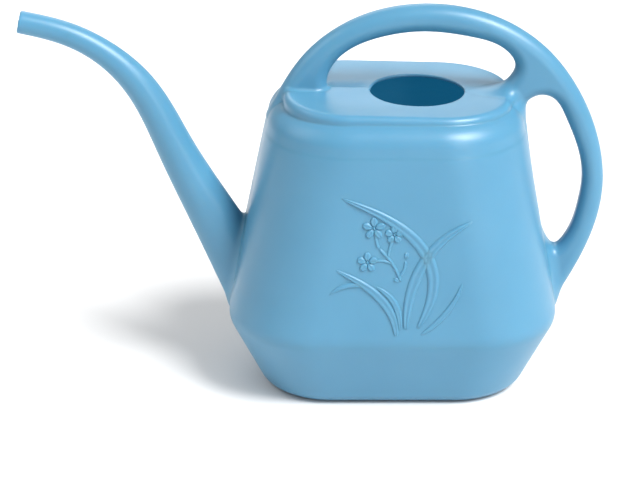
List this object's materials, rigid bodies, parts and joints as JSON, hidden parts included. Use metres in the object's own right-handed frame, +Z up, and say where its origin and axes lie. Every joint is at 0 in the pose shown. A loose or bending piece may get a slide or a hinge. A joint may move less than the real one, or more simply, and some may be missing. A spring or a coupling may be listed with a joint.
{
  "type": "watering can",
  "caption": "Light blue plastic watering can with a tapered tank, raised deck with a round fill hole, long curved spout and a two-window loop handle.",
  "frame": {"origin": "middle of the tank, on the surface that the can stands on", "axes": "+X from the spout towards the rear grip, +Y square to the plane of the spout and handle, +Z up"},
  "size_m": [0.3685, 0.1514, 0.2476],
  "materials": {
    "body": "light blue blow-moulded polyethylene, semi-gloss, with a faint moulded grain"
  },
  "bodies": {
    "root": {"base_pan": "body", "lower_wall": "body", "upper_wall": "body", "shoulder": "body", "fill_deck": "body", "spout_root": "body", "spout_neck": "body", "spout_tip": "body", "handle_foot": "body", "handle_arch": "body", "handle_web": "body", "rear_grip": "body", "front_leaves": "body", "front_blossoms": "body", "back_leaves": "body", "back_blossoms": "body"}
  },
  "joints": []
}
